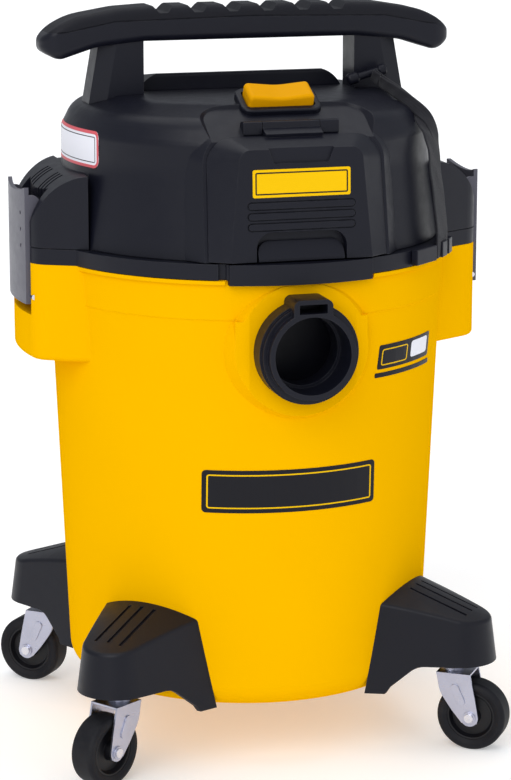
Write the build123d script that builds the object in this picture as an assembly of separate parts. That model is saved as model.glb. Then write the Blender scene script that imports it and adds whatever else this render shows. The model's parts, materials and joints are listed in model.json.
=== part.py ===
from build123d import *
import os
from math import atan2, cos, degrees, hypot, pi, radians, sin, tan

# A wet and dry shop vacuum. Millimetres, +Z up, front towards -Y.
# The origin is on the floor, under the axis of the round tank.

# ---------------------------------------------------------------- tank
TANK_BOTTOM = 49.0
TANK_R_LOW = 140.0
TANK_TAPER = 14.0 / 334.0
TANK_BAND_Z = 352.0
TANK_BAND_STEP = 0.8
TANK_WALL = 3.0
TANK_SHOULDER_Z = 383.0
TANK_TOP = 390.0
NECK_R = 153.2
TANK_CORNER_R = 18.0

# ------------------------------------------- bosses, rim and lid plan
BOSS_R = 181.0
BOSS_BOTTOM = 309.0
BOSS_CORNER_R = 20.0
FLANK_X = 140.0
FLANK_Y = 60.0
FLANK_SLOPE = 19.0 / 36.0
RIM_R = 158.0
RIM_LOW = 383.3
SEAM_Z = 395.0
CENTRE_HALF = 55.0

# ------------------------------------------------------------- latches
LATCH_R = 184.0
LATCH_HALF = 31.0
LATCH_LOW = 351.0
LATCH_TOP = 440.0
LATCH_WALL = 3.2
LATCH_RECESS_R = 166.5
LATCH_RECESS_HALF = 32.5
LATCH_PIN_R = 2.0
LATCH_PIN_X = 176.2
LATCH_PIN_Z = 357.0
POCKET_LOW = 343.0

# ----------------------------------------------------------- hose inlet
INLET_Z = 330.0
INLET_FACE = 180.5
INLET_BORE = 29.0
INLET_RING = 33.0
INLET_FLANGE = 38.0
PAD_FACE = 154.6
PAD_HALF = 51.0
PAD_TOP = 353.0

# ------------------------------------------------------ feet and casters
SWIVEL_X = 133.0
SWIVEL_Y = 121.0
SWIVEL_D = hypot(SWIVEL_X, SWIVEL_Y)
FOOT_TIP = 185.0
FOOT_R = 33.0
FOOT_FLARE = 19.6
FOOT_DRAFT = 7.5
FOOT_BASE = 45.0
FOOT_CROWN = 88.0
FOOT_SOFT = 4.0
FOOT_SCREW_Y = 22.0
FOOT_SCREW_Z = 92.0
FOOT_LOW = 72.0
FOOT_EDGE_TOP = 106.0
FOOT_ARCH_TOP = 129.0
WHEEL_R = 27.2
HUB_R = 19.0
TYRE_HALF = 10.5
TRAIL = 18.0
FORK_TOP = 62.0
FORK_PLATE = 1.6
FORK_HALF = 11.6
STEM_R = 4.0
AXLE_R = 2.5
RUNNING = 0.05

# --------------------------------------------------------------- head
DOME = [(150.0, SEAM_Z), (142.0, 459.0), (142.0, 480.0), (134.0, 496.0), (104.0, 505.0)]
DOME_ROUND = [0.0, 60.0, 12.0, 16.0, 40.0]
COVER_WALL = 3.0
DECK_Z = 505.0
SHOULDER_X = 135.0
SHOULDER_A = 45.4
SHOULDER_B = 54.0
FIN_X = 139.0
FIN_Y = 47.0
LOUVRES = (-25.0, -17.5, -10.0, 10.0, 17.5, 25.0)

# ---------------------------------------------------------- front door
DOOR_LOW = 396.2
FOOT_PLANE_Y = -141.5
FOOT_LEAN = 0.150
PANEL_PLANE_Y = -151.5
PANEL_LEAN = 0.0333
VALLEY_Z = 484.0
HINGE_Y = -118.0
HINGE_Z = 490.5
HINGE_PIN_R = 1.75
BARREL_R = 4.7
KNUCKLE_X = 21.9
BARREL_X = 36.6
PIN_HALF = 34.4
KNUCKLE_FRONT = 5.5
KNUCKLE_LOW = 5.2

# -------------------------------------------------------------- switch
SWITCH_LEAN = 25.0
SWITCH_Y = -87.0
SWITCH_Z = 503.0
BEZEL_LONG = 62.0
BEZEL_WIDE = 33.0
ROCKER_HALF = 25.2
ROCKER_WIDE = 10.6
ROCKER_TOP = 14.4
TRUNNION_R = 2.0

# -------------------------------------------------------------- handle
TIP_X = 163.0
BAR_HALF = 18.5
BAR_TOP = 572.0
POST_HALF = 14.5

# ------------------------------------------------------- rear of the head
HOOD_HALF = 84.0
HOOD_FRONT = 13.0
HOOD_REAR = 118.0
HOOD_TOP = 518.0
HOOD_SLOPE = 0.14
BLOWER_Z = 440.0
BLOWER_LEDGE = 149.0
PORT_THROAT = 26.5
GLAND_X = 62.0
GLAND_Z = 470.0

# ------------------------------------------------- motor, filter, float
MOTOR_R = 52.0
FAN_R = 68.0
SHAFT_R = 4.0
CAGE_R = 54.0
CAGE_LOW = 272.0
LID_UNDER = 392.3
FILTER_R = 78.0
FLOAT_R = 21.0
FLOAT_Z = CAGE_LOW + 2.4 + FLOAT_R + 0.3

# --------------------------------------------------------------- strap
STRAP_WIDE = 25.0
STRAP_THICK = 2.4
STRAP_ROUTE = [(128.0, -97.0, 388.0), (124.5, -93.0, 430.0), (122.0, -92.0, 466.0), (115.0, -86.0, 493.0),
               (104.0, -62.0, 508.0), (97.0, -36.0, 514.0)]

# Each caster's corner, and the heading it trails towards in degrees.
CORNERS = {
    "front_left": (-1, -1, 214.0),
    "front_right": (1, -1, 324.0),
    "rear_left": (-1, 1, 140.0),
    "rear_right": (1, 1, 38.0),
}


# ---------------------------------------------------------------- helpers
def disc(radius, low, high, x=0.0, y=0.0):
    """An upright cylinder between two heights."""
    return Pos(x, y, low) * extrude(Circle(radius), amount=high - low)


def ring(outer, inner, low, high, x=0.0, y=0.0):
    """An upright tube between two heights."""
    return disc(outer, low, high, x, y) - disc(inner, low - 1, high + 1, x, y)


def block(x0, x1, y0, y1, z0, z1):
    """A box between its low and high corners."""
    centre = Pos((x0 + x1) / 2, (y0 + y1) / 2, (z0 + z1) / 2)
    return centre * Box(x1 - x0, y1 - y0, z1 - z0)


def rod(start, end, radius):
    """A round bar between two points."""
    start = Vector(*start)
    run = Vector(*end) - start
    return Plane(origin=start, z_dir=run.normalized()) * extrude(Circle(radius), amount=run.length)


def outline(points, radii=0.0):
    """A closed face from corners, each rounded by its own radius."""
    if isinstance(radii, (int, float)):
        radii = [radii] * len(points)
    if max(radii) == 0:
        return make_face(Polyline(*points, close=True))
    return make_face(FilletPolyline(*points, radius=radii, close=True))


def turned(points, radii=0.0):
    """A solid of revolution about +Z from (radius, height) corners."""
    return revolve(Plane.XZ * outline(points, radii), Axis.Z)


def along_y(face, y0, y1):
    """A face drawn in X and Z, made solid between two values of Y."""
    return extrude(Plane(origin=(0, y1, 0), x_dir=(1, 0, 0), z_dir=(0, -1, 0)) * face, amount=y1 - y0)


def along_x(face, x0, x1):
    """A face drawn in Y and Z, made solid between two values of X."""
    return extrude(Plane(origin=(x0, 0, 0), x_dir=(0, 1, 0), z_dir=(1, 0, 0)) * face, amount=x1 - x0)


def both_sides(shape):
    """A shape and its mirror image across the middle plane of the vacuum."""
    return shape + mirror(shape, about=Plane.YZ)


def group(shapes):
    """Several separate solids in one node."""
    solids = []
    for shape in shapes:
        solids += list(shape.solids())
    return Compound(children=solids)


def leaning_plane(y, z, lean):
    """A plane facing the front that leans back by lean mm for each mm of height."""
    return Plane(origin=(0, y, z), x_dir=(1, 0, 0), z_dir=(0, -1, lean))


def tank_radius(z):
    """Outer radius of the tank's tapered wall at a height."""
    return TANK_R_LOW + (z - TANK_BOTTOM) * TANK_TAPER


# ------------------------------------------------------------------- tank
def boss_plan(grow=0.0):
    """Plan of the right-hand latch boss: an arc between two flaring flanks."""
    near = 110.0
    far = 200.0
    half_near = FLANK_Y + (FLANK_X - near) * FLANK_SLOPE + grow
    half_far = FLANK_Y + (FLANK_X - far) * FLANK_SLOPE + grow
    flanks = Polyline((near, -half_near), (far, -half_far), (far, half_far), (near, half_near), close=True)
    return make_face(flanks) & Circle(BOSS_R + grow)


def boss_block(low, high, corner=BOSS_CORNER_R, grow=0.0):
    """The boss plan made solid, with its two outer corners rounded."""
    solid = Pos(0, 0, low) * extrude(boss_plan(grow), amount=high - low)
    corners = solid.edges().filter_by(Axis.Z).filter_by(lambda e: e.center().X > 160)
    return fillet(corners, corner)


def latch_recess(low, high, radius=LATCH_RECESS_R, half=LATCH_RECESS_HALF):
    """Room for a latch: everything outside a radius, between two cheeks."""
    return block(140, 200, -half, half, low, high) - disc(radius, low - 1, high + 1)


def tank_shell():
    band_r = tank_radius(TANK_BAND_Z) + TANK_BAND_STEP
    top_r = tank_radius(TANK_SHOULDER_Z) + TANK_BAND_STEP
    corners = [
        (0, TANK_BOTTOM),
        (TANK_R_LOW, TANK_BOTTOM),
        (tank_radius(TANK_BAND_Z), TANK_BAND_Z),
        (band_r, TANK_BAND_Z + 1),
        (top_r, TANK_SHOULDER_Z),
        (NECK_R, TANK_SHOULDER_Z),
        (NECK_R, TANK_TOP),
        (0, TANK_TOP),
    ]
    body = turned(corners, [0, TANK_CORNER_R, 0, 0, 0, 0, 0, 0])
    bead = turned([(150, 378.5), (157.0, 379.6), (157.4, 382.6), (150, 382.6)])
    bead -= block(-CENTRE_HALF - 2, CENTRE_HALF + 2, -170, -100, 378, 384)
    boss = boss_block(BOSS_BOTTOM, TANK_SHOULDER_Z)
    lowest = boss.edges().group_by(Axis.Z)[0].filter_by(lambda e: e.center().X > 112)
    boss = fillet(lowest, 4.0)
    boss -= disc(145, BOSS_BOTTOM - 1, TANK_SHOULDER_Z + 1)
    boss -= latch_recess(POCKET_LOW, 400)
    core = ring(LATCH_RECESS_R - 3, 157.6, 316, 400) & block(140, 190, -48, 48, 316, 400)
    boss -= core
    boss -= rod((LATCH_PIN_X, -37, LATCH_PIN_Z), (LATCH_PIN_X, 37, LATCH_PIN_Z), LATCH_PIN_R)
    pad = Plane(origin=(0, -PAD_FACE, INLET_Z), z_dir=(0, 1, 0)) * Cone(
        50, 58, 16, align=(Align.CENTER, Align.CENTER, Align.MIN)
    )
    pad_front = outline(
        [(-PAD_HALF, INLET_Z), (PAD_HALF, INLET_Z), (PAD_HALF, PAD_TOP), (-PAD_HALF, PAD_TOP)])
    pad += along_y(pad_front, -PAD_FACE, -140)
    pad &= disc(160, INLET_Z - 60, 378)
    shell = body + bead + both_sides(boss) + pad
    inner_low = TANK_R_LOW - TANK_WALL
    inner_top = tank_radius(TANK_SHOULDER_Z) - TANK_WALL - 0.8
    cavity = turned(
        [(0, TANK_BOTTOM + TANK_WALL), (inner_low, TANK_BOTTOM + TANK_WALL),
         (inner_top, TANK_SHOULDER_Z), (inner_top, TANK_TOP + 1), (0, TANK_TOP + 1)],
        [0, TANK_CORNER_R - TANK_WALL, 0, 0, 0],
    )
    shell -= cavity
    shell -= rod((0, -175, INLET_Z), (0, -110, INLET_Z), INLET_RING)
    return shell


def inlet_port():
    """Black hose socket with a stop ledge, and a notch on top for the hose's catch."""
    def tube(radius, front, back):
        return rod((0, -front, INLET_Z), (0, -back, INLET_Z), radius)

    port = tube(INLET_RING, INLET_FACE, 138) + tube(INLET_FLANGE, 170, PAD_FACE)
    port += tube(36.4, 174, 170)
    notch = along_y(
        outline([(-14.8, INLET_Z), (14.8, INLET_Z), (14.8, INLET_Z + 41.8), (-14.8, INLET_Z + 41.8)],
                [0, 0, 5, 5]),
        -INLET_FACE, -PAD_FACE)
    port += notch
    pocket = block(-10.6, 10.6, -INLET_FACE - 1, -160, INLET_Z + 31.5, INLET_Z + 38.4)
    port -= pocket
    port -= tube(INLET_BORE, INLET_FACE + 1, PAD_FACE + 0.4)
    port -= tube(PORT_THROAT, INLET_FACE, 130)
    return port


def inlet_deflector():
    """Hood behind the inlet that turns the air stream down into the tank."""
    hood = block(-44, 44, -146, -112, 296, 372) & disc(144, 290, 380)
    room = block(-41, 41, -150, -115, 280, 369)
    return hood - room


def inlet_screws():
    """Four screws that hold the hose socket to the tank from inside."""
    screws = []
    for turn in (45, 135, 225, 315):
        x = 35.2 * cos(radians(turn))
        z = INLET_Z + 35.2 * sin(radians(turn))
        if turn < 180:
            z -= 2.0
        screws.append(rod((x, -158, z), (x, -135.6, z), 1.6) + rod((x, -139, z), (x, -135.6, z), 3.2))
    return group(screws)


# ------------------------------------------------------- feet and casters
def to_corner(shape, sign_x, sign_y):
    """Turns a foot built along +X so that it points at one of the four corners."""
    return Rot(0, 0, degrees(atan2(sign_y * SWIVEL_Y, sign_x * SWIVEL_X))) * shape


def foot_form(inset):
    """Outer form of a foot along +X, or a smaller copy of it for its hollow."""
    flare = radians(FOOT_FLARE)
    half = FOOT_R - inset
    tangent_x = FOOT_TIP + half * sin(flare)
    tangent_y = half * cos(flare)
    back_y = tangent_y + (tangent_x - 112) * tan(flare)
    plan = outline([(112, -back_y), (tangent_x, -tangent_y), (tangent_x, tangent_y), (112, back_y)])
    plan += Pos(FOOT_TIP, 0) * Circle(half)
    solid = Pos(0, 0, FOOT_BASE) * extrude(plan, amount=95, taper=FOOT_DRAFT)
    top = FOOT_ARCH_TOP - inset
    edge = FOOT_EDGE_TOP - inset
    floor = 40 if inset else FOOT_LOW
    near = 40 if inset else 50
    tip = FOOT_TIP + 25 - inset
    reach = FOOT_TIP + FOOT_R + 1
    side = outline(
        [(111, near), (144, near), (147, near + 5), (166, floor), (reach, floor), (reach, edge),
         (tip, edge), (141, top), (111, top)],
        [0, 1, 1, 16, 0, 0, 0, 0, 0])
    solid &= along_y(side, -70, 70)
    slope = Vector(141 - tip, 0, top - edge).normalized()
    normal = Vector(top - edge, 0, tip - 141).normalized()
    crown = Vector(tip, 0, edge) - normal * FOOT_CROWN
    solid &= rod(tuple(crown - slope * 40), tuple(crown + slope * 140), FOOT_CROWN)
    return solid


def foot():
    """Hollow foot along +X: a crowned arm with a socket for the caster's stem."""
    form = foot_form(0)
    outer_edge = form.edges().filter_by(lambda e: e.center().X > SWIVEL_D and e.center().Z > 96)
    arm = fillet(outer_edge, FOOT_SOFT)
    arm -= foot_form(3.0)
    arm += disc(10, FOOT_LOW, 101, SWIVEL_D, 0)
    arm += block(140, FOOT_TIP + 24, -1.2, 1.2, FOOT_LOW, 101)
    for offset in (-FOOT_SCREW_Y, FOOT_SCREW_Y):
        arm += block(138, 151, offset - 4, offset + 4, FOOT_SCREW_Z - 5, 124) & form
    arm -= disc(STEM_R + RUNNING, FOOT_LOW - 1, 96, SWIVEL_D, 0)
    tip = FOOT_TIP + 25
    pitch = degrees(atan2(FOOT_ARCH_TOP - FOOT_EDGE_TOP, tip - 141))
    for offset in (-11.0, 0.0, 11.0):
        slot = Rot(0, pitch, 0) * Box(50, 2.8, 3.0)
        arm -= Pos(172, offset, 118.4 - offset ** 2 / (2 * FOOT_CROWN)) * slot
    wall = turned([(0, 40), (TANK_R_LOW, 40), (TANK_R_LOW, TANK_BOTTOM),
                   (tank_radius(200), 200), (0, 200)])
    arm -= wall
    return arm


def foot_screws():
    """Two screws in each foot, driven outward from inside the tank wall."""
    screws = []
    for sign_x in (-1, 1):
        for sign_y in (-1, 1):
            for offset in (-FOOT_SCREW_Y, FOOT_SCREW_Y):
                start = (134.2, offset, FOOT_SCREW_Z)
                shank = rod(start, (148, offset, FOOT_SCREW_Z), 1.8)
                shank += rod(start, (136.6, offset, FOOT_SCREW_Z), 3.6)
                screws.append(to_corner(shank, sign_x, sign_y))
    return group(screws)


def caster_fork():
    """Stamped fork at the origin of its swivel, trailing towards +X, with its stem."""
    side = outline(
        [(-9, FORK_TOP), (-6, 46), (4, 32), (12, 22.6), (24, 22.6), (25, 27.7), (22, 44), (18, FORK_TOP)],
        [0, 25, 15, 0, 0, 0, 30, 0])
    side += Pos(TRAIL, WHEEL_R) * Circle(7)
    cheek = along_y(side, -FORK_HALF - FORK_PLATE, -FORK_HALF)
    emboss = Plane(origin=(8.6, -FORK_HALF - FORK_PLATE, 45), x_dir=(0.42, 0, -0.91), z_dir=(0, -1, 0))
    cheek += emboss * extrude(SlotOverall(18, 6.5), amount=0.9)
    washer_y = -FORK_HALF - FORK_PLATE
    cheek += rod((TRAIL, washer_y, WHEEL_R), (TRAIL, washer_y - 1.2, WHEEL_R), 5.0)
    cheek -= rod((TRAIL, -20, WHEEL_R), (TRAIL, 0, WHEEL_R), AXLE_R)
    fork = cheek + mirror(cheek, about=Plane.XZ)
    fork += block(-9, TRAIL, -FORK_HALF - FORK_PLATE, FORK_HALF + FORK_PLATE, FORK_TOP - FORK_PLATE, FORK_TOP)
    fork += disc(9.0, FORK_TOP - 1, FORK_TOP + 2.4)
    fork += disc(6.4, FORK_TOP, FOOT_LOW - 0.4)
    fork += disc(STEM_R, FORK_TOP, 94)
    return fork


def caster_axle():
    """Riveted axle through the fork and wheel."""
    end = FORK_HALF + FORK_PLATE + 1.2
    axle = rod((TRAIL, -end, WHEEL_R), (TRAIL, end, WHEEL_R), AXLE_R)
    for side in (-1, 1):
        axle += rod((TRAIL, side * end, WHEEL_R), (TRAIL, side * (end + 1.2), WHEEL_R), 3.6)
    return axle


def wheel_hub():
    """Dished plastic hub inside the tyre."""
    half = [(AXLE_R + RUNNING, 11.2), (6.5, 11.2), (7.5, 5.5), (15.6, 4.5), (17.6, 8.6), (HUB_R, 8.6)]
    profile = half + [(radius, -height) for radius, height in reversed(half)]
    return Pos(TRAIL, 0, WHEEL_R) * (Rot(90, 0, 0) * turned(profile))


def wheel_tyre():
    """Rubber tread ring with rounded shoulders."""
    tyre = turned(
        [(HUB_R, -8.9), (HUB_R + 3.4, -TYRE_HALF), (WHEEL_R, -TYRE_HALF), (WHEEL_R, TYRE_HALF),
         (HUB_R + 3.4, TYRE_HALF), (HUB_R, 8.9)],
        [0, 1.5, 3.6, 3.6, 1.5, 0])
    return Pos(TRAIL, 0, WHEEL_R) * (Rot(90, 0, 0) * tyre)


def at_caster(shape, corner):
    """Places a caster part at one corner, turned the way that caster trails."""
    sign_x, sign_y, heading = CORNERS[corner]
    return Pos(sign_x * SWIVEL_X, sign_y * SWIVEL_Y, 0) * (Rot(0, 0, heading) * shape)


# ---------------------------------------------------------------- latches
def latch():
    """Right-hand latch: a curved plate with side flanges, a hook and a knuckle."""
    low, high = LATCH_LOW, LATCH_TOP
    slab = block(150, 200, -LATCH_HALF, LATCH_HALF, low, high)
    plate = ring(LATCH_R, LATCH_R - LATCH_WALL, low, high) & slab
    profile = outline(
        [(182.6, low), (182.6, 434), (173, 434), (167.8, 428), (167.8, 402), (172, 368), (172, low)],
        [0, 0, 6, 6, 10, 10, 4])
    flange = along_y(profile, -LATCH_HALF, -LATCH_HALF + 2.6) & disc(LATCH_R - 1.0, low, high)
    knuckle = rod((LATCH_PIN_X, -LATCH_HALF, LATCH_PIN_Z), (LATCH_PIN_X, LATCH_HALF, LATCH_PIN_Z), 4.2)
    web = block(LATCH_PIN_X, 182, -LATCH_HALF, LATCH_HALF, LATCH_PIN_Z - 3, LATCH_PIN_Z + 3)
    hook = ring(182, 171.3, 396.0, 400.0) & block(150, 200, -20, 20, 390, 402)
    latch_solid = plate + flange + mirror(flange, about=Plane.XZ) + knuckle + web + hook
    latch_solid &= disc(LATCH_R, low - 10, high + 10)
    latch_solid -= rod((LATCH_PIN_X, -40, LATCH_PIN_Z), (LATCH_PIN_X, 40, LATCH_PIN_Z), LATCH_PIN_R + RUNNING)
    latch_solid -= rod((150, 0, high - 4 + 120), (210, 0, high - 4 + 120), 120)
    for z in (395, 407.5, 420):
        latch_solid -= rod((178, -21, z), (190, -21, z), 1.5)
    return latch_solid


def latch_pin():
    """Steel pin that the right-hand latch turns on."""
    return rod((LATCH_PIN_X, -37, LATCH_PIN_Z), (LATCH_PIN_X, 37, LATCH_PIN_Z), LATCH_PIN_R)


# --------------------------------------------------------------- lid base
def lid_base():
    """Black rim band and floor of the head; the motor stands on it."""
    plate = disc(RIM_R, RIM_LOW, SEAM_Z)
    plate += both_sides(boss_block(RIM_LOW, SEAM_Z) - latch_recess(RIM_LOW - 1, SEAM_Z + 1))
    ledge = ring(170.9, 160, RIM_LOW + 4, SEAM_Z) & block(150, 200, -22, 22, 380, 400)
    plate += both_sides(ledge)
    front = ring(160.2, 155.4, 379.6, SEAM_Z) & block(-CENTRE_HALF, CENTRE_HALF, -170, -100, 370, 400)
    plate += front
    plate -= disc(NECK_R + 0.6, RIM_LOW - 10, LID_UNDER)
    slot = block(-62, -56.4, -170, -140, 370, 400) - disc(155.2, 370, 400)
    plate -= slot
    plate -= disc(17, 370, 400)
    spigot = ring(22, 19, LID_UNDER - 6, LID_UNDER)
    return plate + spigot


def lid_gasket():
    """Foam ring under the lid that seals on the tank's edge."""
    return ring(NECK_R + 0.4, 146.5, TANK_TOP + 0.3, LID_UNDER)


# ------------------------------------------------------------- head cover
def dome(shrink=0.0):
    """The round upper body: its outer form, or a smaller copy for its inside."""
    points = [(0, SEAM_Z - (1 if shrink else 0))]
    for radius, height in DOME:
        points.append((radius - shrink, height - shrink if height > 470 else height))
    points[1] = (points[1][0], points[0][1])
    points.append((0, DECK_Z - shrink))
    return turned(points, [0] + DOME_ROUND + [0])


def shoulder(shrink=0.0):
    """The right-hand shoulder over a latch: an elliptical top, and a fin where each flank ends."""
    low = SEAM_Z - (1 if shrink else 0)
    base = boss_block(low, 460, grow=-shrink)
    arc = Pos(SHOULDER_X, SEAM_Z + 2) * Ellipse(SHOULDER_A - shrink, SHOULDER_B - shrink)
    tail = Pos((SHOULDER_X + 100) / 2, (SEAM_Z + SEAM_Z + 2 + SHOULDER_B - shrink) / 2) * Rectangle(
        SHOULDER_X - 100, SHOULDER_B + 2 - shrink)
    form = base & along_y(arc + tail, -90, 90)
    fin = block(100, FIN_X + shrink, FIN_Y - shrink, 95, low - 1, 470)
    return form - fin - mirror(fin, about=Plane.XZ)


def valley():
    """The sloping hollow in the front of the dome, above the door."""
    slope = Plane(origin=(0, -125, VALLEY_Z), x_dir=(1, 0, 0), z_dir=(0, -17.5, 30))
    floor = Pos(0, -6) * RectangleRounded(124, 82, 14)
    return slope * extrude(floor, amount=26, taper=-42)


FOOT_PLANE = leaning_plane(FOOT_PLANE_Y, DOOR_LOW, FOOT_LEAN)
PANEL_PLANE = leaning_plane(PANEL_PLANE_Y, DOOR_LOW, PANEL_LEAN)


def door_outline(half_low, half_high, low, high, top_corner, foot_corner=1.0):
    """A door-shaped face: a tapering panel with two rounded top corners."""
    return outline([(-half_low, low), (half_low, low), (half_high, high), (-half_high, high)],
                   [foot_corner, foot_corner, top_corner, top_corner])


def door_frame():
    """The raised frame on the dome that the door closes against."""
    face = FOOT_PLANE.offset(-0.4) * door_outline(71.0, 69.0, -2, 93, 22)
    back = FOOT_PLANE.offset(-20) * door_outline(85.0, 83.0, -2, 104, 26)
    return loft([back, face], ruled=True) & block(-90, 90, -150, -60, SEAM_Z, 500)


def knuckle(x0, x1):
    """One length of the door's hinge: a round barrel with a flat front, clear of the valley's floor."""
    front = outline(
        [(HINGE_Y - KNUCKLE_FRONT, HINGE_Z - KNUCKLE_LOW), (HINGE_Y - 2.5, HINGE_Z - 3.5), (HINGE_Y, HINGE_Z),
         (HINGE_Y, HINGE_Z + BARREL_R), (HINGE_Y - KNUCKLE_FRONT, HINGE_Z + BARREL_R)],
        [0.5, 0, 0, 0, 1.2])
    return along_x(front, x0, x1) + rod((x0, HINGE_Y, HINGE_Z), (x1, HINGE_Y, HINGE_Z), BARREL_R)


SWITCH_PLANE = Plane(
    origin=(0, SWITCH_Y, SWITCH_Z),
    x_dir=(1, 0, 0),
    z_dir=(0, -sin(radians(SWITCH_LEAN)), cos(radians(SWITCH_LEAN))),
)


def head_form():
    """Everything that the cover's outer surface is made of, solid."""
    form = dome() + both_sides(shoulder()) + door_frame()
    return form - valley()


def head_cover():
    cover = head_form()
    inside = dome(COVER_WALL)
    inside += both_sides(shoulder(COVER_WALL) & disc(LATCH_RECESS_R - 3, 380, 470))
    lining = Plane(origin=(0, -125, VALLEY_Z - 4), x_dir=(1, 0, 0), z_dir=(0, -17.5, 30))
    inside -= lining * extrude(Pos(0, -6) * RectangleRounded(134, 90, 16), amount=40, taper=-42)
    cover -= inside
    cover -= both_sides(latch_recess(SEAM_Z - 1, 470))
    cover -= FOOT_PLANE.offset(-0.4) * extrude(door_outline(69.2, 67.1, -4, 91, 20), amount=30)
    cover -= block(-57, 57, -160, -100, 403, 474)
    for side in (-1, 1):
        for y in LOUVRES:
            cover -= Pos(side * 161, y, 441) * (Rot(0, side * 48, 0) * Box(24, 3.4, 16))
    brackets = both_sides(knuckle(KNUCKLE_X + 0.4, BARREL_X))
    feet = both_sides(block(KNUCKLE_X + 0.4, BARREL_X, HINGE_Y - 3.4, HINGE_Y + 4, 480, HINGE_Z))
    feet -= lining * extrude(Rectangle(200, 200), amount=-60)
    cover += brackets + feet
    cover -= rod((-PIN_HALF, HINGE_Y, HINGE_Z), (PIN_HALF, HINGE_Y, HINGE_Z), HINGE_PIN_R)
    cover -= rod((-KNUCKLE_X - 0.4, HINGE_Y, HINGE_Z), (KNUCKLE_X + 0.4, HINGE_Y, HINGE_Z), BARREL_R + 0.5)
    cover -= SWITCH_PLANE * (Pos(0, 0, -16) * extrude(RectangleRounded(BEZEL_LONG - 7, 27, 5), amount=40))
    cover -= SWITCH_PLANE * extrude(RectangleRounded(BEZEL_LONG, BEZEL_WIDE, 8), amount=20)
    cover -= rod((0, 100, BLOWER_Z), (0, 200, BLOWER_Z), 31.0)
    cover -= rod((GLAND_X, 100, GLAND_Z), (GLAND_X, 160, GLAND_Z), 6.0)
    groove = ring(200, 0.1, SEAM_Z - 0.1, SEAM_Z + 0.7)
    keep = disc(149.2, SEAM_Z - 1, SEAM_Z + 1) + both_sides(boss_block(SEAM_Z - 1, SEAM_Z + 1, grow=-0.9))
    cover -= groove - keep
    return cover


# ------------------------------------------------------------- front door
def storage_door():
    """Hinged cover of the storage box: a bevelled cap with grip, ribs and notch."""
    foot_face = FOOT_PLANE * door_outline(68.6, 66.5, 0, 90, 20)
    panel_face = PANEL_PLANE * door_outline(54.2, 46.4, 0, 82, 9)
    cap = loft([foot_face, panel_face], ruled=True)
    inner_foot = FOOT_PLANE.offset(-1) * door_outline(66.0, 64.0, 2.4, 82, 18)
    inner_panel = PANEL_PLANE.offset(-2.6) * door_outline(51.0, 43.4, 2.4, 76, 7)
    cap -= loft([inner_foot, inner_panel], ruled=True)
    pocket_wall = PANEL_PLANE.offset(-0.8) * extrude(door_outline(37.5, 37.5, 0, 24.5, 14), amount=-9.6)
    cap += pocket_wall - FOOT_PLANE * extrude(Rectangle(300, 300), amount=-30)
    pocket = PANEL_PLANE * extrude(door_outline(34.5, 34.5, -1, 21.5, 12), amount=-8.2)
    ramp = along_x(outline([(-152.5, DOOR_LOW), (-141, DOOR_LOW), (-141, 411), (-144.5, 411)]), -40, 40)
    ramp &= PANEL_PLANE.offset(1) * extrude(door_outline(32.8, 32.8, -1, 14.6, 9), amount=-12)
    cap -= pocket - ramp
    notch_face = outline([(-20.7, 71.8), (20.7, 71.8), (25.4, 84), (-25.4, 84)], [1.5, 1.5, 0, 0])
    cap -= PANEL_PLANE * extrude(notch_face, amount=-2.0)
    for step in range(3):
        rib = PANEL_PLANE * (Pos(0, 25.6 + 7.7 * step) * SlotOverall(81, 4.6))
        trench = PANEL_PLANE * (Pos(0, 25.6 + 7.7 * step) * SlotOverall(82.6, 6.2))
        cap -= extrude(trench, amount=-0.8)
        cap += extrude(rib.moved(Location((0, 1.2, 0))), amount=1.8)
    arm = along_x(
        outline([(HINGE_Y - 12, HINGE_Z - 8.4), (HINGE_Y - 1, HINGE_Z - 2.0), (HINGE_Y - 3, HINGE_Z + 1),
                 (HINGE_Y - 14, HINGE_Z - 3.4)]),
        -KNUCKLE_X, KNUCKLE_X)
    cap += arm + knuckle(-KNUCKLE_X, KNUCKLE_X)
    cap -= rod((-60, HINGE_Y, HINGE_Z), (60, HINGE_Y, HINGE_Z), HINGE_PIN_R + RUNNING)
    return cap


def door_pin():
    """Steel pin through the door's hinge."""
    return rod((-PIN_HALF, HINGE_Y, HINGE_Z), (PIN_HALF, HINGE_Y, HINGE_Z), HINGE_PIN_R)


def storage_box():
    """Open-fronted box behind the door for small nozzles."""
    tub = block(-57, 57, -134, -92, 403, 474) & (disc(147, 400, 480) + block(-57, 57, -128, -92, 400, 480))
    tub -= block(-54.6, 54.6, -150, -94.4, 405.4, 471.6)
    return tub - FOOT_PLANE.offset(-0.8) * extrude(Rectangle(300, 300), amount=30)


# ----------------------------------------------------------------- switch
def switch_bezel():
    """Black surround of the rocker."""
    face = SWITCH_PLANE * extrude(RectangleRounded(BEZEL_LONG, BEZEL_WIDE, 8), amount=5.5)
    skirt = SWITCH_PLANE * (Pos(0, 0, -14) * extrude(RectangleRounded(BEZEL_LONG - 7, 27, 5), amount=16))
    bezel = face + skirt
    up = SWITCH_PLANE.z_dir
    top_edges = bezel.edges().filter_by(lambda e: (e.center() - SWITCH_PLANE.origin).dot(up) > 5.4)
    bezel = fillet(top_edges, 1.5)
    bezel -= SWITCH_PLANE * (Pos(0, 0, -16) * extrude(RectangleRounded(BEZEL_LONG - 9, 23.0, 3.5), amount=34))
    return bezel - SWITCH_PLANE * rod((0, -12.7, 0), (0, 12.7, 0), TRUNNION_R + RUNNING)


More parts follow.
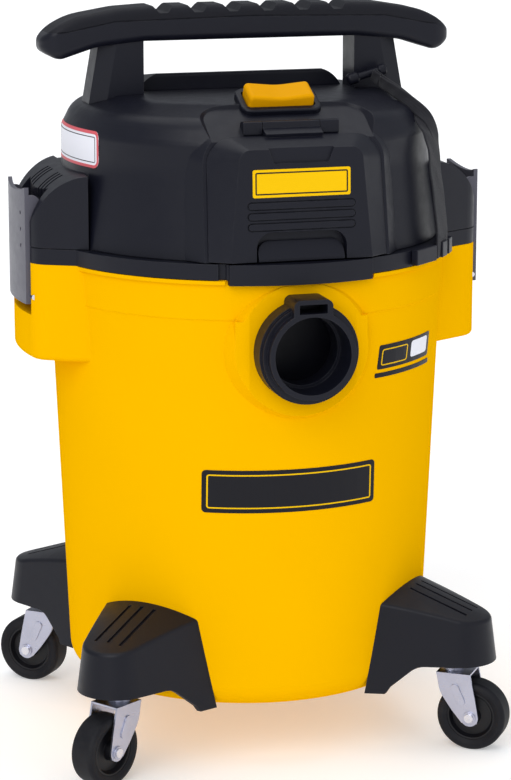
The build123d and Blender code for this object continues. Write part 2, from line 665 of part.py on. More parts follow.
def rocker():
    """Yellow rocker paddle with a dip in the middle."""
    profile = outline(
        [(-ROCKER_HALF, -2), (ROCKER_HALF, -2), (ROCKER_HALF, ROCKER_TOP), (0, ROCKER_TOP - 2.8),
         (-ROCKER_HALF, ROCKER_TOP)],
        [0, 0, 3.5, 55, 3.5])
    paddle = along_y(profile, -ROCKER_WIDE, ROCKER_WIDE)
    corners = paddle.edges().filter_by(Axis.Z)
    paddle = fillet(corners, 2.5)
    trunnion = rod((0, -12.3, 0), (0, 12.3, 0), TRUNNION_R)
    return SWITCH_PLANE * (paddle + trunnion)


def switch_body():
    """Electrical switch under the rocker."""
    switch = Pos(0, 0, -19) * Box(40, 20, 14)
    switch += Pos(0, 0, -13) * extrude(RectangleRounded(BEZEL_LONG - 9, 23.0, 3.5), amount=2)
    for x in (-12, 0, 12):
        switch += Pos(x, 0, -29) * Box(6.3, 0.8, 8)
    return SWITCH_PLANE * switch


# ----------------------------------------------------------------- handle
def bar_form():
    """The whole grip bar: a shallow bow with drooping, rounded ends."""
    top = [(-TIP_X, 549), (-144, 564), (-104, 570.6), (-80, BAR_TOP), (80, BAR_TOP), (104, 570.6), (144, 564),
           (TIP_X, 549)]
    under = [(TIP_X, 540), (150, 532.6), (120, 542), (84, 545.5), (-84, 545.5), (-120, 542), (-150, 532.6),
             (-TIP_X, 540)]
    radii = [8, 60, 60, 60, 60, 60, 60, 8, 7, 12, 60, 60, 60, 60, 12, 7]
    bar = along_y(outline(top + under, radii), -BAR_HALF, BAR_HALF)
    plan = Pos(0, 0, 500) * extrude(RectangleRounded(2 * TIP_X, 2 * BAR_HALF, 15), amount=100)
    bar &= plan
    long_edges = bar.edges().filter_by(lambda e: abs(abs(e.center().Y) - BAR_HALF) < 0.01)
    long_edges = long_edges.filter_by(lambda e: abs(e.center().X) < 148)
    return fillet(long_edges, 6.0)


def seam_face(thick, x_reach):
    """A thin bowed strip, drawn in X and Z, where grip and shell meet."""
    right = [(107, 561.6), (144, 554.5), (x_reach, 550)]
    left = [(-x, z) for x, z in reversed(right)]
    upper = left + [(0, 563.6)] + right
    lower = [(x, z - thick) for x, z in reversed(upper)]
    return make_face(Polyline(*upper, *lower, close=True))


def above_seam():
    """Everything above the seam line of the bar."""
    return along_y(seam_face(-60, 200), -40, 40)


def seam_groove():
    """Fine groove along the front and back of the bar at the seam."""
    strip = seam_face(0.8, 200)
    front = along_y(strip, -BAR_HALF - 2, -BAR_HALF + 0.8)
    return front + mirror(front, about=Plane.XZ)


def handle_grip():
    """Upper half of the bar, with six cut valleys for the fingers."""
    grip = bar_form() & above_seam()
    for x in (-69, -41.5, -14, 13.5, 41.5, 69):
        valley_face = outline([(x - 8.5, BAR_TOP + 1), (x - 3.4, BAR_TOP - 5.2), (x + 3.4, BAR_TOP - 5.2),
                               (x + 8.5, BAR_TOP + 1)], [0, 1.6, 1.6, 0])
        grip -= along_y(valley_face, -30, 30)
    return grip - seam_groove()


def handle_frame():
    """Lower half of the bar and its two posts, down to the dome."""
    shell = (bar_form() - above_seam()) - seam_groove()
    front = outline([(-84, 548), (-84, 470), (-131, 470), (-117, 548)])
    post = along_y(front, -POST_HALF, POST_HALF)
    chamfer = along_y(outline([(-150, 548), (-104, 548), (-119, 470), (-150, 470)]), -40, 0)
    plane_cut = Plane(origin=(-104, -POST_HALF, 548), x_dir=(-15, 0, -78), z_dir=(-0.42, -0.9, 0.08))
    wedge = plane_cut * extrude(Rectangle(260, 120), amount=30)
    post -= wedge & chamfer
    post -= dome(0.0) + disc(141.9, 440, 482)
    return shell + both_sides(post)


def handle_screws():
    """Screws that join the grip to the handle's lower half."""
    screws = []
    for x in (-112, -100, 100, 112):
        screws.append(disc(2.0, 541, 560, x, 0) + disc(3.8, 541, 543.4, x, 0))
    return group(screws)


# ------------------------------------------------------- rear of the head
def hood_form(inset):
    """The hood's outer form, or a smaller copy for its hollow: a wedge that falls to the rear."""
    front = HOOD_FRONT + inset
    rear = HOOD_REAR - 1.5 * inset
    high = HOOD_TOP - inset
    low = 470.0 - 2.5 * inset
    side = outline(
        [(front, low), (rear, low), (rear, high - HOOD_SLOPE * (rear - front)), (front, high)],
        [0, 0, 13, 2.5])
    end = outline(
        [(-HOOD_HALF + inset, low - 1), (HOOD_HALF - inset, low - 1), (HOOD_HALF - inset, high + 0.5),
         (-HOOD_HALF + inset, high + 0.5)],
        [0, 0, 24, 24])
    return along_x(side, -HOOD_HALF, HOOD_HALF) & along_y(end, front - 1, rear + 1)


def rear_hood():
    """Raised hood on the back of the head, with exhaust louvres."""
    hood = hood_form(0.0) - hood_form(4.0)
    hood -= dome(0.0)
    for row in range(7):
        x = -60 + row * 20
        hood -= Pos(x, HOOD_REAR - 2, 496) * Box(13, 30, 3)
    return hood


def blower_port():
    """Exhaust port at the back that takes the hose for blowing, up to a ledge."""
    def tube(radius, front, back):
        return rod((0, front, BLOWER_Z), (0, back, BLOWER_Z), radius)

    outside = (tube(40, 130, 148) + tube(33, 148, INLET_FACE)) - dome(0.0)
    port = tube(31.0, 110, INLET_FACE) + outside
    port -= tube(PORT_THROAT, 100, INLET_FACE)
    return port - tube(INLET_BORE, BLOWER_LEDGE, INLET_FACE + 1)


def cord_gland():
    """Strain-relief collar where the power cord would enter."""
    gland = rod((GLAND_X, 118, GLAND_Z), (GLAND_X, 140, GLAND_Z), 6.0)
    gland += rod((GLAND_X, 124, GLAND_Z), (GLAND_X, 136, GLAND_Z), 9.0) - dome(0.0)
    return gland - rod((GLAND_X, 110, GLAND_Z), (GLAND_X, 150, GLAND_Z), 3.6)


# ------------------------------------------------- motor, fan and silencer
def fan_housing():
    """Round turbine case that stands on the lid base."""
    case = ring(FAN_R, FAN_R - 2.2, SEAM_Z, 424) + ring(FAN_R, 20, SEAM_Z, SEAM_Z + 1.6)
    case += ring(FAN_R, 12.2, 422, 425)
    for turn in range(0, 360, 30):
        case -= Rot(0, 0, turn) * block(FAN_R - 6, FAN_R + 6, -6, 6, 405, 418)
    return case


def impeller():
    """Fan wheel: two discs with backward-curved blades between them."""
    wheel = ring(60, SHAFT_R, 416, 417.6) + ring(60, 22, 402, 403.4)
    blades = []
    for turn in range(0, 360, 40):
        inner = (24 * cos(radians(turn)), 24 * sin(radians(turn)))
        outer = (59 * cos(radians(turn + 42)), 59 * sin(radians(turn + 42)))
        middle = (43 * cos(radians(turn + 12)), 43 * sin(radians(turn + 12)))
        arc = ThreePointArc(inner, middle, outer)
        blades.append(Pos(0, 0, 403) * extrude(make_face(offset(arc, 0.7)), amount=13.4))
    for blade in blades:
        wheel += blade
    wheel += ring(10, SHAFT_R, 410, 417.6)
    return wheel


def motor_frame():
    """Motor bracket with its two bearing seats."""
    frame = ring(MOTOR_R, MOTOR_R - 2, 425, 488) + ring(MOTOR_R, 11, 486, 489)
    for turn in range(45, 360, 90):
        frame -= Rot(0, 0, turn) * block(20, 60, -16, 16, 432, 478)
    for turn in range(20, 360, 40):
        frame -= Rot(0, 0, turn) * block(22, 44, -3, 3, 484, 492)
    return frame


def stator():
    """Laminated field core with two windings."""
    core = ring(49.8, 30.5, 436, 470)
    for side in (-1, 1):
        core += Rot(0, 0, 90 + side * 90) * (ring(47, 33, 430, 476) & block(10, 60, -24, 24, 420, 480))
    return core


def armature():
    """Motor shaft with its wound rotor and commutator."""
    shaft = disc(SHAFT_R, 400, 492)
    rotor = ring(29.0, SHAFT_R, 437, 469)
    for turn in range(0, 360, 30):
        rotor -= Rot(0, 0, turn) * block(25.5, 31, -1, 1, 430, 476)
    commutator = ring(12, SHAFT_R, 474, 483)
    return shaft + rotor + ring(22, SHAFT_R, 433, 473) + commutator


def motor_bearings():
    """Lower and upper ball bearings of the motor shaft."""
    return group([ring(12.1, SHAFT_R + RUNNING, 421, 428), ring(10.9, SHAFT_R + RUNNING, 485, 491)])


def carbon_brushes():
    """Two brush holders that touch the commutator."""
    brushes = []
    for side in (-1, 1):
        brushes.append(Pos(side * 22.15, 0, 478.5) * Box(19.7, 6, 6))
    return group(brushes)


def silencer_foam():
    """Foam ring that quietens the exhaust air."""
    foam = ring(86, 70, SEAM_Z, 464)
    return foam & block(-90, 90, -88, 90, 390, 480)


# ------------------------------------------------------- filter and float
def filter_cage():
    """Slotted cage under the lid that holds the float and the filter."""
    cage = ring(CAGE_R, CAGE_R - 2.4, CAGE_LOW, LID_UNDER)
    cage += disc(CAGE_R, CAGE_LOW, CAGE_LOW + 2.4)
    cage += disc(8, CAGE_LOW - 12, CAGE_LOW)
    for turn in range(0, 360, 30):
        cage -= Rot(0, 0, turn) * block(40, 60, -9, 9, 284, 380)
    cage -= disc(2.5, CAGE_LOW - 13, CAGE_LOW - 1)
    guide = ring(FLOAT_R + 3, FLOAT_R + 1, CAGE_LOW + 2, LID_UNDER)
    for turn in range(0, 180, 45):
        guide -= Rot(0, 0, turn) * block(-40, 40, -6.5, 6.5, CAGE_LOW + 4, LID_UNDER - 8)
    return cage + guide


def cartridge_filter():
    """Pleated cartridge with two end caps, slid over the cage."""
    corners = []
    pleats = 48
    for step in range(2 * pleats):
        radius = FILTER_R - 2 if step % 2 == 0 else 66
        turn = pi * step / pleats
        corners.append((radius * cos(turn), radius * sin(turn)))
    media = Pos(0, 0, 272) * extrude(make_face(Polyline(*corners, close=True)), amount=110)
    media -= disc(CAGE_R + 4, 260, 400)
    caps = ring(FILTER_R + 2, CAGE_R + 0.2, 266, 274) + ring(FILTER_R + 2, CAGE_R + 0.2, 380, 391)
    return media + caps


def filter_nut():
    """Wing nut and plate that clamp the filter from below."""
    plate = disc(70, 263, 266) - disc(9, 250, 270)
    knob = disc(22, 254, 263) - disc(8.2, 259, 270)
    knob += block(-34, 34, -3, 3, 246, 256)
    knob += disc(2.5, 256, 265)
    return plate + knob + ring(22, 8.2, 259, 266)


def float_ball():
    """Hollow ball that rises with the water and shuts the air path."""
    return Pos(0, 0, FLOAT_Z) * (Sphere(FLOAT_R) - Sphere(FLOAT_R - 2))


def head_screws():
    """Screws that join the cover to the lid base from below."""
    screws = []
    for turn in (0, 45, 90, 135, 180, 225, 315):
        spot = Rot(0, 0, turn)
        shank = disc(1.8, LID_UNDER - 1, 404, 140, 0)
        head = disc(3.5, LID_UNDER - 1.6, LID_UNDER, 140, 0)
        screws.append(spot * (shank + head))
    return group(screws)


# ------------------------------------------------------------------ strap
def strap():
    """Webbing strap from the rim band up to the toggle on the right-hand post."""
    band = None
    for low, high in zip(STRAP_ROUTE[:-1], STRAP_ROUTE[1:]):
        start = Vector(*low)
        run = Vector(*high) - start
        outward = Vector(start.X, start.Y, 0).normalized()
        across = run.cross(outward).normalized()
        plane = Plane(origin=start, x_dir=across, z_dir=run.normalized())
        piece = plane * extrude(RectangleRounded(STRAP_WIDE, STRAP_THICK, 1.1), amount=run.length)
        band = piece if band is None else band + piece
        band += plane * Cylinder(STRAP_THICK / 2, STRAP_WIDE, rotation=(0, 90, 0))
    return band


def strap_buckle():
    """Three small guide blocks on the rim band that hold the strap's lower end."""
    blocks = []
    for turn, width in ((-49.0, 30.0), (-37.0, 12.0), (-31.0, 12.0)):
        shape = block(RIM_R, RIM_R + 5.5, -width / 2, width / 2, 384.0, SEAM_Z + 1.0)
        blocks.append(Rot(0, 0, turn) * (fillet(shape.edges(), 0.8)))
    return group(blocks)


def strap_toggle():
    """T-shaped toggle and hook that hold the strap at the post."""
    spindle = turned(
        [(0, -1), (4.6, -1), (4.6, 7), (2.9, 8.5), (2.9, 24), (4.2, 25.5), (4.2, 31), (0, 31)],
        [0, 2.2, 2.2, 0, 0, 1.2, 1.2, 0])
    bar = Plane(origin=(76.0, -25.0, 512.5), z_dir=(26, 0, 7)) * spindle
    stem = rod((96.0, -25.0, 518.0), (96.0, -13.0, 518.0), 2.2)
    return bar + stem


# ----------------------------------------------------------------- output
def all_nodes():
    right_latch = latch()
    right_pin = latch_pin()
    foot_solid = foot()
    nodes = {
        "tank_shell": tank_shell(),
        "inlet_port": inlet_port(),
        "inlet_deflector": inlet_deflector(),
        "inlet_screws": inlet_screws(),
        "foot_screws": foot_screws(),
        "latch_right": right_latch,
        "latch_left": mirror(right_latch, about=Plane.YZ),
        "latch_pin_right": right_pin,
        "latch_pin_left": mirror(right_pin, about=Plane.YZ),
        "lid_base": lid_base(),
        "lid_gasket": lid_gasket(),
        "head_cover": head_cover(),
        "rear_hood": rear_hood(),
        "handle_frame": handle_frame(),
        "handle_grip": handle_grip(),
        "handle_screws": handle_screws(),
        "switch_bezel": switch_bezel(),
        "rocker": rocker(),
        "switch_body": switch_body(),
        "storage_door": storage_door(),
        "door_pin": door_pin(),
        "storage_box": storage_box(),
        "blower_port": blower_port(),
        "cord_gland": cord_gland(),
        "fan_housing": fan_housing(),
        "impeller": impeller(),
        "motor_frame": motor_frame(),
        "stator": stator(),
        "armature": armature(),
        "motor_bearings": motor_bearings(),
        "carbon_brushes": carbon_brushes(),
        "silencer_foam": silencer_foam(),
        "filter_cage": filter_cage(),
        "cartridge_filter": cartridge_filter(),
        "filter_nut": filter_nut(),
        "float_ball": float_ball(),
        "head_screws": head_screws(),
        "strap": strap(),
        "strap_buckle": strap_buckle(),
        "strap_toggle": strap_toggle(),
    }
    for corner, (sign_x, sign_y, _) in CORNERS.items():
        nodes[f"foot_{corner}"] = to_corner(foot_solid, sign_x, sign_y)
        nodes[f"caster_fork_{corner}"] = at_caster(caster_fork(), corner)
        nodes[f"caster_axle_{corner}"] = at_caster(caster_axle(), corner)
        nodes[f"wheel_hub_{corner}"] = at_caster(wheel_hub(), corner)
        nodes[f"wheel_tyre_{corner}"] = at_caster(wheel_tyre(), corner)
    return nodes


os.makedirs("parts", exist_ok=True)
for node_name, node_shape in all_nodes().items():
    export_step(node_shape, f"parts/{node_name}.step")
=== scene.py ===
import json
from math import cos, hypot, pi, radians, sin

import bmesh
import bpy
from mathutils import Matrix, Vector
from mathutils.bvhtree import BVHTree


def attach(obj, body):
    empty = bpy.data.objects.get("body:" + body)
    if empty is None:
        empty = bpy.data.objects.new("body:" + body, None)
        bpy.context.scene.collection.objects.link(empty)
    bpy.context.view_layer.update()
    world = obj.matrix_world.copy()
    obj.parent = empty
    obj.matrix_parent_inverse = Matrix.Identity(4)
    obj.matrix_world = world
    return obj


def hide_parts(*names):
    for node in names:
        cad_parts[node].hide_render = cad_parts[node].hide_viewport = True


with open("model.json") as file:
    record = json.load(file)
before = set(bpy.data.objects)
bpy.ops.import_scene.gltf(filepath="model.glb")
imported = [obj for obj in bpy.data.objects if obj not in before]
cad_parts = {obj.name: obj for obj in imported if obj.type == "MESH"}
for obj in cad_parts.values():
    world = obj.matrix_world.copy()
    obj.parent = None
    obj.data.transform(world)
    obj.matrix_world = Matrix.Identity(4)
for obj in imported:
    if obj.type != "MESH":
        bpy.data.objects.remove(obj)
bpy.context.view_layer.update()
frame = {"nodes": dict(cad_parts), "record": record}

MM = 0.001
IMAGE_LONG_SIDE = 780
SENSOR = 36.0
FOCAL_PIXELS = 2820.4
NODES = frame["nodes"]
SLOT_OF = {part["node"]: part["material_slot"] for part in frame["record"]["subparts"]}
BEVEL_SAMPLES = 4
NOISE_SPAN = (0.3, 0.7)
WEAR_AND_HIGHLIGHT_RADIUS = 0.0012
# The webbing's weave, in metres along its own UV.
CHEVRON_WIDE = 0.0026
RIB_PITCH = 0.0011
COLUMN_PITCH = 0.0013


# ------------------------------------------------------------ node helpers
def link(tree, source, target):
    tree.links.new(source, target)


def feed(tree, socket, value):
    """Sets an input from another node's output or from a plain value."""
    if isinstance(value, bpy.types.NodeSocket):
        link(tree, value, socket)
    else:
        socket.default_value = value


def add(tree, kind, **inputs):
    """Adds a node and sets its named inputs, which may be sockets or values."""
    node = tree.nodes.new(kind)
    for name, value in inputs.items():
        feed(tree, node.inputs[name.replace("_", " ")], value)
    return node


def maths(tree, operation, *values):
    node = tree.nodes.new("ShaderNodeMath")
    node.operation = operation
    for socket, value in zip(node.inputs, values):
        feed(tree, socket, value)
    return node.outputs[0]


def mix_colour(tree, factor, first, second, blend="MIX"):
    node = tree.nodes.new("ShaderNodeMix")
    node.data_type = "RGBA"
    node.blend_type = blend
    for name, value in (("Factor", factor), ("A", first), ("B", second)):
        socket = next(s for s in node.inputs if s.name == name and s.enabled)
        feed(tree, socket, (*value, 1.0) if isinstance(value, tuple) else value)
    return next(s for s in node.outputs if s.enabled)


def remap(tree, value, low, high, to_low, to_high):
    node = tree.nodes.new("ShaderNodeMapRange")
    link(tree, value, node.inputs["Value"])
    limits = (("From Min", low), ("From Max", high), ("To Min", to_low), ("To Max", to_high))
    for name, number in limits:
        node.inputs[name].default_value = number
    return node.outputs["Result"]


def place(tree):
    """Object coordinates, which are the row frame's metres on every piece."""
    return tree.nodes.new("ShaderNodeTexCoord").outputs["Object"]


def noise(tree, vector, scale, detail=2.0, roughness=0.5):
    node = add(tree, "ShaderNodeTexNoise", Vector=vector, Scale=scale, Detail=detail, Roughness=roughness)
    return node.outputs["Fac"]


def shade_bump(tree, shader, strength, distance, height, soft_edge=None):
    """Bumps a surface by a height, over edges that are rounded in the shading when soft_edge is given."""
    bump = add(tree, "ShaderNodeBump", Strength=strength, Distance=distance, Height=height)
    if soft_edge:
        rounded = add(tree, "ShaderNodeBevel", Radius=soft_edge)
        rounded.samples = BEVEL_SAMPLES
        link(tree, rounded.outputs["Normal"], bump.inputs["Normal"])
    link(tree, bump.outputs["Normal"], shader.inputs["Normal"])


def tones(colour, darker, lighter=1.0):
    """A colour's darker and lighter version, for mottling, and for the painted shade and highlight in the
    webbing's weave and the foam's pores.
    """
    return tuple(c * darker for c in colour), tuple(min(1.0, c * lighter) for c in colour)


def edge_wear_and_highlight_mask(tree, radius):
    """Near one along outer edges, from the difference of a rounded and a true normal."""
    soft = add(tree, "ShaderNodeBevel", Radius=radius)
    soft.samples = BEVEL_SAMPLES
    true = tree.nodes.new("ShaderNodeNewGeometry").outputs["True Normal"]
    dot = tree.nodes.new("ShaderNodeVectorMath")
    dot.operation = "DOT_PRODUCT"
    link(tree, soft.outputs["Normal"], dot.inputs[0])
    link(tree, true, dot.inputs[1])
    return remap(tree, dot.outputs["Value"], 0.98, 0.72, 0.0, 1.0)


def new_material(name):
    material = bpy.data.materials.new(name)
    material.use_nodes = True
    return material, material.node_tree, material.node_tree.nodes["Principled BSDF"]


def plastic(name, colour, rough, grain=900.0, grain_depth=0.00006, soft_edge=0.0007,
            wear_and_highlight_colour=(0.0, 0.0, 0.0), wear_and_highlight_share=0.0, gloss=0.3, mottle=0.06):
    """Moulded plastic: fine spark-eroded grain, softly rounded edges, mottling, and lighter edges that are
    partly wear and partly painted highlight.
    """
    material, tree, shader = new_material(name)
    where = place(tree)
    broad = noise(tree, where, scale=14.0, detail=3.0)
    fine = noise(tree, where, scale=grain, detail=2.0, roughness=0.6)
    scuffs = noise(tree, where, scale=95.0, detail=4.0, roughness=0.7)
    base = mix_colour(tree, broad, *tones(colour, 1 - mottle, 1 + mottle))
    if wear_and_highlight_share:
        # Edges are painted lighter in patches: partly scuff wear, partly painted edge highlight.
        edges = edge_wear_and_highlight_mask(tree, WEAR_AND_HIGHLIGHT_RADIUS)
        patchy = remap(tree, scuffs, 0.42, 0.62, 0.0, wear_and_highlight_share)
        base = mix_colour(tree, maths(tree, "MULTIPLY", edges, patchy), base, wear_and_highlight_colour)
    link(tree, base, shader.inputs["Base Color"])
    link(tree, remap(tree, scuffs, *NOISE_SPAN, rough - 0.05, rough + 0.05), shader.inputs["Roughness"])
    shade_bump(tree, shader, 0.55, grain_depth, fine, soft_edge)
    shader.inputs["Specular IOR Level"].default_value = gloss
    return material


def metal(name, colour, rough, streak=(1.0, 1.0, 1.0)):
    """Plated or bare metal with fine streaks and cloudy patches."""
    material, tree, shader = new_material(name)
    where = place(tree)
    stretch = tree.nodes.new("ShaderNodeMapping")
    link(tree, where, stretch.inputs["Vector"])
    stretch.inputs["Scale"].default_value = streak
    lines = noise(tree, stretch.outputs["Vector"], scale=420.0, detail=3.0, roughness=0.6)
    clouds = noise(tree, where, scale=60.0, detail=3.0)
    link(tree, mix_colour(tree, clouds, *tones(colour, 0.86, 1.1)), shader.inputs["Base Color"])
    link(tree, remap(tree, lines, *NOISE_SPAN, rough - 0.08, rough + 0.08), shader.inputs["Roughness"])
    shade_bump(tree, shader, 0.3, 0.00003, lines, soft_edge=0.0004)
    shader.inputs["Metallic"].default_value = 1.0
    return material


def rubber(name, colour, rough, gloss=0.3):
    """Dull rubber with a dusty tread and fine moulding speckle."""
    material, tree, shader = new_material(name)
    where = place(tree)
    speckle = noise(tree, where, scale=700.0, detail=3.0, roughness=0.65)
    dust = noise(tree, where, scale=55.0, detail=4.0, roughness=0.6)
    tone = mix_colour(tree, remap(tree, dust, 0.45, 0.75, 0.0, 0.2), colour, (0.06, 0.059, 0.058))
    link(tree, tone, shader.inputs["Base Color"])
    link(tree, remap(tree, dust, *NOISE_SPAN, rough - 0.06, rough + 0.08), shader.inputs["Roughness"])
    shade_bump(tree, shader, 0.5, 0.0001, speckle, soft_edge=0.0008)
    shader.inputs["Specular IOR Level"].default_value = gloss
    return material


def foam(name, colour):
    material, tree, shader = new_material(name)
    cells = tree.nodes.new("ShaderNodeTexVoronoi")
    link(tree, place(tree), cells.inputs["Vector"])
    cells.inputs["Scale"].default_value = 520.0
    depth = cells.outputs["Distance"]
    # Painted shade: the foam is darker towards the middle of each cell, where the bump sinks into a pore.
    link(tree, mix_colour(tree, depth, *tones(colour, 0.4)), shader.inputs["Base Color"])
    shader.inputs["Roughness"].default_value = 0.95
    shade_bump(tree, shader, 0.9, 0.0006, depth)
    return material


def paper(name, colour):
    material, tree, shader = new_material(name)
    fibres = noise(tree, place(tree), scale=800.0, detail=5.0, roughness=0.7)
    link(tree, mix_colour(tree, fibres, *tones(colour, 0.86)), shader.inputs["Base Color"])
    shader.inputs["Roughness"].default_value = 0.9
    shade_bump(tree, shader, 0.4, 0.0002, fibres)
    return material


def webbing(name, colour):
    """Woven strap: chevron ribs along the strap's own UV, with a little sheen."""
    material, tree, shader = new_material(name)
    uv = tree.nodes.new("ShaderNodeTexCoord").outputs["UV"]
    split = tree.nodes.new("ShaderNodeSeparateXYZ")
    link(tree, uv, split.inputs[0])
    across, along = split.outputs["X"], split.outputs["Y"]
    folded = maths(tree, "PINGPONG", across, CHEVRON_WIDE)
    slanted = maths(tree, "ADD", along, folded)
    ribs = maths(tree, "SINE", maths(tree, "MULTIPLY", slanted, 2 * pi / RIB_PITCH))
    columns = maths(tree, "SINE", maths(tree, "MULTIPLY", across, 2 * pi / COLUMN_PITCH))
    weave = maths(tree, "MULTIPLY_ADD", columns, 0.35, ribs)
    level = remap(tree, weave, -1.3, 1.3, 0.0, 1.0)
    fuzz = noise(tree, place(tree), scale=1400.0, detail=3.0)
    # Painted shade and highlight: the weave's grooves are darker and its ribs lighter, following the same
    # height as the bump.
    tone = mix_colour(tree, level, *tones(colour, 0.45, 1.5))
    tone = mix_colour(tree, maths(tree, "MULTIPLY", fuzz, 0.25), tone, (0.04, 0.04, 0.046))
    link(tree, tone, shader.inputs["Base Color"])
    shader.inputs["Roughness"].default_value = 0.78
    shader.inputs["Sheen Weight"].default_value = 0.1
    shader.inputs["Specular IOR Level"].default_value = 0.2
    shade_bump(tree, shader, 0.7, 0.00025, level)
    return material


YELLOW = (0.86, 0.44, 0.0)
BLACK = (0.0056, 0.0061, 0.0118)
# Each finish's edge colour is lighter than its base: partly scuff wear, partly painted edge highlight.
MATERIALS = {
    "tank_yellow": plastic("tank_yellow", YELLOW, 0.46, grain=1100, grain_depth=0.00004, gloss=0.0,
                           wear_and_highlight_colour=(1.0, 0.60, 0.02), wear_and_highlight_share=0.35, mottle=0.02),
    "body_black": plastic("body_black", BLACK, 0.40, wear_and_highlight_colour=(0.05, 0.05, 0.058), wear_and_highlight_share=0.5, mottle=0.12,
                          gloss=0.22),
    "foot_black": plastic("foot_black", (0.0052, 0.0055, 0.0100), 0.42, wear_and_highlight_colour=(0.055, 0.055, 0.065),
                          wear_and_highlight_share=0.6, mottle=0.12, gloss=0.22),
    "grip_black": plastic("grip_black", (0.0060, 0.0063, 0.0105), 0.55, grain=650, grain_depth=0.00022,
                          wear_and_highlight_colour=(0.05, 0.05, 0.058), wear_and_highlight_share=0.4, mottle=0.15, gloss=0.2),
    "latch_grey": plastic("latch_grey", (0.085, 0.083, 0.105), 0.4, wear_and_highlight_colour=(0.22, 0.22, 0.25), wear_and_highlight_share=0.5),
    # The rocker's yellow is the tank's yellow darkened as painted shade, so that its up-facing top, which
    # gets more light, matches the tank.
    "rocker_yellow": plastic("rocker_yellow", (0.70, 0.315, 0.0), 0.42, grain_depth=0.00003, soft_edge=0.0018,
                             gloss=0.03, wear_and_highlight_colour=(1.0, 0.6, 0.1), wear_and_highlight_share=0.4, mottle=0.02),
    "fork_steel": metal("fork_steel", (0.47, 0.48, 0.58), 0.34, streak=(1.0, 1.0, 3.0)),
    "bright_steel": metal("bright_steel", (0.66, 0.66, 0.72), 0.25),
    "hub_black": plastic("hub_black", (0.004, 0.004, 0.006), 0.42, wear_and_highlight_colour=(0.03, 0.03, 0.035), wear_and_highlight_share=0.4),
    "tyre_grey": rubber("tyre_grey", (0.0055, 0.0056, 0.0085), 0.6, gloss=0.2),
    "armature_metal": metal("armature_metal", (0.55, 0.33, 0.2), 0.35),
    "impeller_aluminium": metal("impeller_aluminium", (0.78, 0.78, 0.8), 0.3, streak=(1.0, 1.0, 0.2)),
    "brush_brass": metal("brush_brass", (0.75, 0.52, 0.2), 0.3),
    "foam_grey": foam("foam_grey", (0.10, 0.10, 0.11)),
    "filter_paper": paper("filter_paper", (0.82, 0.80, 0.74)),
    "float_white": plastic("float_white", (0.75, 0.75, 0.72), 0.4),
    "webbing_black": webbing("webbing_black", (0.0095, 0.0095, 0.0135)),
}
PRINT_BLACK = plastic("print_black", (0.009, 0.0088, 0.012), 0.38, grain_depth=0.00002, gloss=0.15)
PRINT_YELLOW = plastic("print_yellow", (0.84, 0.50, 0.0), 0.4, grain_depth=0.00002, gloss=0.08, mottle=0.03)
PRINT_WHITE = plastic("print_white", (0.80, 0.80, 0.86), 0.42, grain_depth=0.00002, gloss=0.25, mottle=0.02)
PRINT_RED = plastic("print_red", (0.62, 0.10, 0.12), 0.42, grain_depth=0.00002, gloss=0.25, mottle=0.05)


def dress_cad_nodes():
    """Gives every CAD node the finish of its slot."""
    for name, node in NODES.items():
        material = MATERIALS[SLOT_OF[name]]
        node.data.materials.clear()
        node.data.materials.append(material)


# ------------------------------------------------------------ mesh helpers
def add_piece(name, mesh, material, body):
    """Puts a mesh in the scene as a piece that rides on a body."""
    mesh.materials.append(material)
    piece = bpy.data.objects.new(name, mesh)
    bpy.context.scene.collection.objects.link(piece)
    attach(piece, body)
    return piece


def smooth_mesh(name, vertices, faces, uvs):
    mesh = bpy.data.meshes.new(name)
    mesh.from_pydata(vertices, [], faces)
    mesh.validate()
    mesh.polygons.foreach_set("use_smooth", [True] * len(mesh.polygons))
    layer = mesh.uv_layers.new(name="UVMap")
    for loop in mesh.loops:
        layer.data[loop.index].uv = uvs[loop.vertex_index]
    return mesh


def surface_tree(name):
    """A search tree over the surface of a CAD node."""
    mesh = NODES[name].data
    vertices = [vertex.co.copy() for vertex in mesh.vertices]
    return BVHTree.FromPolygons(vertices, [list(face.vertices) for face in mesh.polygons])


# ---------------------------------------------------------------- decals
CORNER_STEPS = 6
LINE_STEP = 0.004
OVER_PLATE = 0.00042
RAY_START = 0.3


def flat_panel(wide, high, corner, columns=40, rows=8, skew=0.0):
    """Points and faces of a rounded rectangle, as a grid whose columns end on its outline."""
    half = wide / 2
    stops = [-half + corner * (1 - cos(pi / 2 * i / CORNER_STEPS)) for i in range(CORNER_STEPS + 1)]
    inner = [stops[-1] + (wide - 2 * corner) * i / columns for i in range(1, columns)]
    stops = stops + inner + [-x for x in reversed(stops)]
    points, faces = [], []
    for x in stops:
        inside = max(0.0, abs(x) - (half - corner))
        reach = high / 2 - corner + (corner ** 2 - min(inside, corner) ** 2) ** 0.5
        for j in range(rows + 1):
            z = -reach + 2 * reach * j / rows
            points.append((x + skew * z, z))
    for i in range(len(stops) - 1):
        for j in range(rows):
            a = i * (rows + 1) + j
            faces.append((a, a + rows + 1, a + rows + 2, a + 1))
    return points, faces


